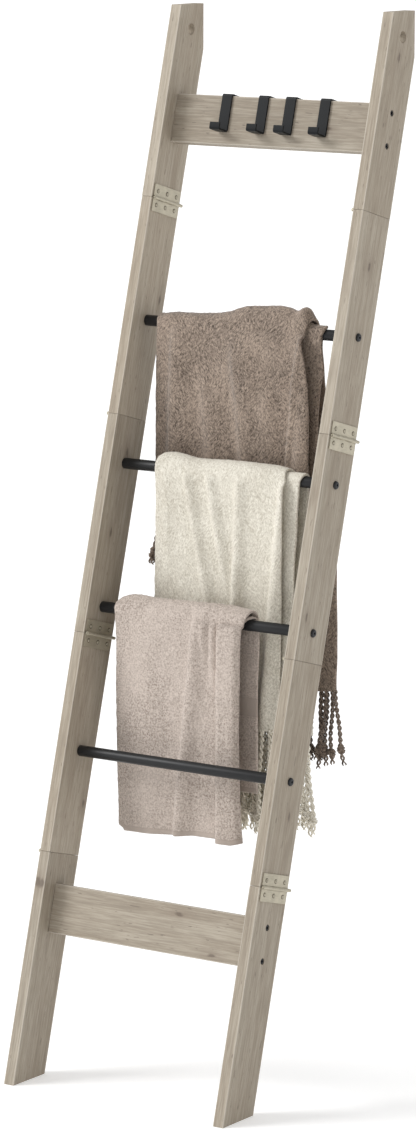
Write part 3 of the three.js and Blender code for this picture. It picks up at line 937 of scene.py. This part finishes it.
def twisted_cord(root, length, ply, draw, flare, loose):
    """Two plies twisted together, hanging from root, with a knot and a short loose tail. flare is
    how far its end is to the right, and loose how freely it sways."""
    length = length * draw.uniform(0.86, 1.0)
    knot = length * draw.uniform(0.78, 0.86)
    steps = int(length / CORD_STEP)
    t = np.linspace(-3, length, steps)
    share = np.clip(t / length, 0, 1)
    sway = draw.uniform(-1, 1, 2) * CORD_SWAY * loose
    sway[0] += flare
    wander = draw.uniform(0, 2 * np.pi, 2)
    x = root[0] + sway[0] * share**1.4 + 3.4 * np.sin(share * 7.5 + wander[0]) * share
    y = root[1] + sway[1] * share**1.4 + 1.0 * np.sin(share * 4.5 + wander[1]) * share
    middle = np.stack([x, y, root[2] - t], -1)
    pitch = 8.5 * ply * draw.uniform(0.9, 1.15)
    near_knot = np.exp(-((t - knot) / (2.4 * ply)) ** 2)
    tail = step(t, knot + 4, length)
    swing = 0.88 * ply * (1 + 0.6 * near_knot + 0.35 * tail)
    thick = ply * (0.92 + 1.05 * near_knot - 0.25 * tail) * (1 + 0.06 * draw.normal(0, 1, steps))
    thick *= np.clip((length - t) / 3.0, 0.05, 1) ** 0.5
    spin = 2 * np.pi * t / pitch + draw.uniform(0, 2 * np.pi)
    spin += 1.2 * near_knot * np.sin((t - knot) * 0.9)
    vertices, faces = [], []
    for number in range(2):
        around = spin + number * np.pi
        offset = np.stack([np.cos(around), np.sin(around), 0 * spin], -1)
        ply_vertices, ply_faces = swept(middle + swing[:, None] * offset, thick)
        vertices.append(ply_vertices)
        faces.append(ply_faces + number * len(ply_vertices))
    return np.concatenate(vertices), np.concatenate(faces)


# ---- The three cloths --------------------------------------------------------

BROWN = {
    "rung": "rung_4", "seed": 11, "grid": (3.0, 5.0), "thick": 5.0, "loose": 1.0, "ruffle": 2.5,
    "fringe": 138.0, "ply": 2.5, "cord_spacing": 14.0, "flare": {"front": (-10, 8), "back": (-12, 21)},
    "flare_power": 15, "bundle": {"wide": 34.0, "pull": 0.55, "lean": 13.0},
    "fold_left": [(-240, -168), (-60, -166), (-30, -165), (0, -169), (30, -166), (638, -170)],
    "outer_right": [(-326, 150), (-200, 151), (-105, 148), (-72, 143), (-47, 136), (-30, 134), (0, 138),
                    (30, 138), (200, 150), (638, 172)],
    "inner_right": [(-326, 154), (-147, 158), (-113, 161), (-87, 167), (-57, 163), (-37, 162), (0, 166),
                    (30, 150), (90, 150), (200, 165), (400, 177), (638, 180)],
    "top": [(-170, 15), (-150, 18), (-97, 20), (-25, 29), (-5, 36), (41, 41), (86, 42), (106, 37),
            (126, 43), (138, 26)],
    "inner_rise": 0.35, "edge_share": 0.92, "edge_reach": 10, "turn_in": 8, "flat_below": 232.0,
    "folds": [
        (fold, dict(top=60, foot=60, left=75, right=60, high=8, end=95)),
        (pleat, dict(top=130, foot=82, high=8, sharp=4)),
        (fold, dict(top=131, foot=84, left=4, right=9, high=7, start=60)),
        (fold, dict(top=136, foot=136, left=20, right=30, high=9, start=10)),
        (fold, dict(top=-124, foot=-138, left=12, right=30, high=12, start=20)),
        (fold, dict(top=-4, foot=38, left=14, right=34, high=11, start=40)),
        (fold, dict(top=-72, foot=-34, left=14, right=30, high=8, start=110)),
        (fold, dict(top=62, foot=66, left=18, right=20, high=6, start=120)),
    ],
    "back_folds": [
        (fold, dict(top=90, foot=110, left=30, right=34, high=7, start=40)),
        (fold, dict(top=-20, foot=-40, left=40, right=34, high=6, start=60)),
        (fold, dict(top=-110, foot=-100, left=28, right=30, high=4, start=30)),
    ],
}

CREAM = {
    "rung": "rung_3", "seed": 23, "grid": (2.8, 4.6), "thick": 4.6, "loose": 0.5, "ruffle": 2.0,
    "fringe": 185.0, "ply": 2.6, "cord_spacing": 11.0, "flare": {"front": (-6, 3), "back": (-6, 22)},
    "flare_power": 2.2, "bundle": {"wide": 30.0, "pull": 0.25, "lean": 4.0},
    "fold_left": [(-456, -125), (-240, -124), (-40, -123), (-20, -124), (0, -125), (30, -124),
                  (464, -125)],
    "outer_right": [(-456, 126), (-402, 129), (-251, 135), (-196, 136), (-128, 138), (-60, 139),
                    (-30, 139), (0, 133), (30, 140), (464, 150)],
    "inner_right": [(-456, 140), (-230, 151), (-161, 154), (-110, 158), (-59, 161), (-30, 163), (0, 168),
                    (30, 166), (250, 172), (464, 175)],
    "top": [(-130, 19), (-124, 24), (-113, 27), (-51, 22), (10, 24), (71, 24), (121, 22), (134, 20)],
    "inner_rise": 0.2, "edge_share": 0.9, "edge_reach": 8, "turn_in": 10,
    "folds": [
        (fold, dict(top=-63, foot=24, left=5, right=12, high=8, end=230)),
        (fold, dict(top=-18, foot=70, left=5, right=12, high=8, end=190)),
        (fold, dict(top=46, foot=40, left=6, right=13, high=7, end=500)),
        (fold, dict(top=46, foot=38, left=7, right=12, high=6, start=150)),
        (fold, dict(top=138, foot=98, left=7, right=20, high=11, start=5)),
        (fold, dict(top=-110, foot=-96, left=9, right=14, high=4, end=160)),
    ],
    "back_folds": [
        (fold, dict(top=100, foot=110, left=20, right=24, high=4.5, start=20)),
        (fold, dict(top=20, foot=5, left=26, right=22, high=4, start=30)),
        (fold, dict(top=-70, foot=-60, left=20, right=24, high=3.5, start=20)),
    ],
}

TAUPE = {
    "rung": "rung_2", "seed": 37, "grid": (2.6, 3.8), "thick": 4.4, "loose": 0.7, "ruffle": 0.4,
    "fold_left": [(-410, -153), (-290, -156), (-185, -158), (-30, -161), (0, -165), (30, -161),
                  (320, -158)],
    "outer_right": [(-410, 105), (-400, 104), (-293, 98), (-120, 98), (-53, 99), (-30, 101), (0, 106),
                    (30, 104), (320, 104)],
    "inner_right": [(-410, 86), (-200, 84), (-30, 92), (0, 106), (30, 109), (150, 107), (320, 107)],
    "top": [(-166, 17), (-160, 22), (-149, 26), (-87, 27), (-5, 29), (77, 29), (104, 26)],
    "hem": [(-156, -7), (-148, -7), (-146, 1), (-96, -2), (-33, -6), (-2, -10), (53, -10), (56, -7),
            (85, -7), (105, -12)],
    "inner_rise": 0.5, "edge_share": 0.6, "edge_reach": 9, "turn_in": 2,
    "folds": [
        (pleat, dict(top=54, foot=54, high=12, sharp=3)),
        (fold, dict(top=59, foot=59, left=4, right=10, high=4)),
        (fold, dict(top=8, foot=-33, left=8, right=20, high=12)),
        (fold, dict(top=24, foot=26, left=6, right=7, high=5, end=60)),
        (fold, dict(top=40, foot=38, left=5, right=7, high=6, end=90)),
        (fold, dict(top=78, foot=74, left=14, right=20, high=4)),
        (fold, dict(top=-100, foot=-95, left=26, right=34, high=4, start=20)),
    ],
    "back_folds": [
        (fold, dict(top=60, foot=50, left=24, right=28, high=5)),
        (fold, dict(top=-60, foot=-70, left=34, right=28, high=4.5)),
    ],
}

DOBBY_BAND = (127.0, 157.0)  # drop of the flat woven band down the back of the towel
TOWEL_HEM = 9.0  # how far up a hem is flat

# Colours in the dark roots and on the light tips.
BROWN_PILE = (0.070, 0.050, 0.037), (0.410, 0.322, 0.255)
# The brown yarn is darker and the cream yarn paler than their cloths: partly their own colour, partly
# painted shade on the brown cords and painted light on the cream cords.
BROWN_YARN = (0.055, 0.039, 0.029), (0.300, 0.230, 0.180)
CREAM_PILE = (0.470, 0.430, 0.352), (0.800, 0.765, 0.672)
CREAM_YARN = (0.560, 0.515, 0.420), (0.880, 0.835, 0.730)
TAUPE_LOOPS = (0.285, 0.232, 0.196), (0.585, 0.505, 0.448)


def add_cloths():
    brown = plush("brown_plush", *BROWN_PILE, size=2.1 * MM, brushing_and_shading=0.22)
    cream = plush("cream_plush", *CREAM_PILE, size=2.0 * MM, pile=0.7, brushing_and_shading=0.26)
    brown_yarn = plush("brown_yarn", *BROWN_YARN)
    cream_yarn = plush("cream_yarn", *CREAM_YARN)
    DrapedCloth("brown_throw", BROWN).add(brown, "brown_plush", brown_yarn)
    DrapedCloth("cream_throw", CREAM).add(cream, "cream_plush", cream_yarn)
    towel = DrapedCloth("taupe_towel", TAUPE)
    first, last = -towel.front - TURN_LENGTH, towel.back + TURN_LENGTH
    bands = [(first - 5, first + TOWEL_HEM), (last - TOWEL_HEM, last + 5),
             tuple(TURN_LENGTH + drop for drop in DOBBY_BAND)]
    taupe = terry("taupe_terry", *TAUPE_LOOPS, [(low * MM, high * MM) for low, high in bands])
    towel.add(taupe, "taupe_terry")


# ---- Run ---------------------------------------------------------------------

add_camera()
add_studio()
RUNG_BLACK = powder_coat("rung_black", (0.013, 0.0135, 0.0145), 0.30)
HOOK_BLACK = powder_coat("hook_black", (0.008, 0.009, 0.010), 0.16)
BOLT_BLACK = powder_coat("bolt_black", (0.014, 0.015, 0.017), 0.35)
BRASS = brushed_brass("hinge_brass", (0.37, 0.335, 0.255), (0.52, 0.475, 0.372))
# Dark brass of the screw seat rings: painted shade standing for the shadow in each countersink.
SEAT_PAINTED_SHADE = brushed_brass("screw_seat_painted_shade", (0.075, 0.062, 0.045), (0.12, 0.10, 0.075))
add_wood()
add_rungs()
add_bolts()
add_hooks()
add_hinges()
add_cloths()
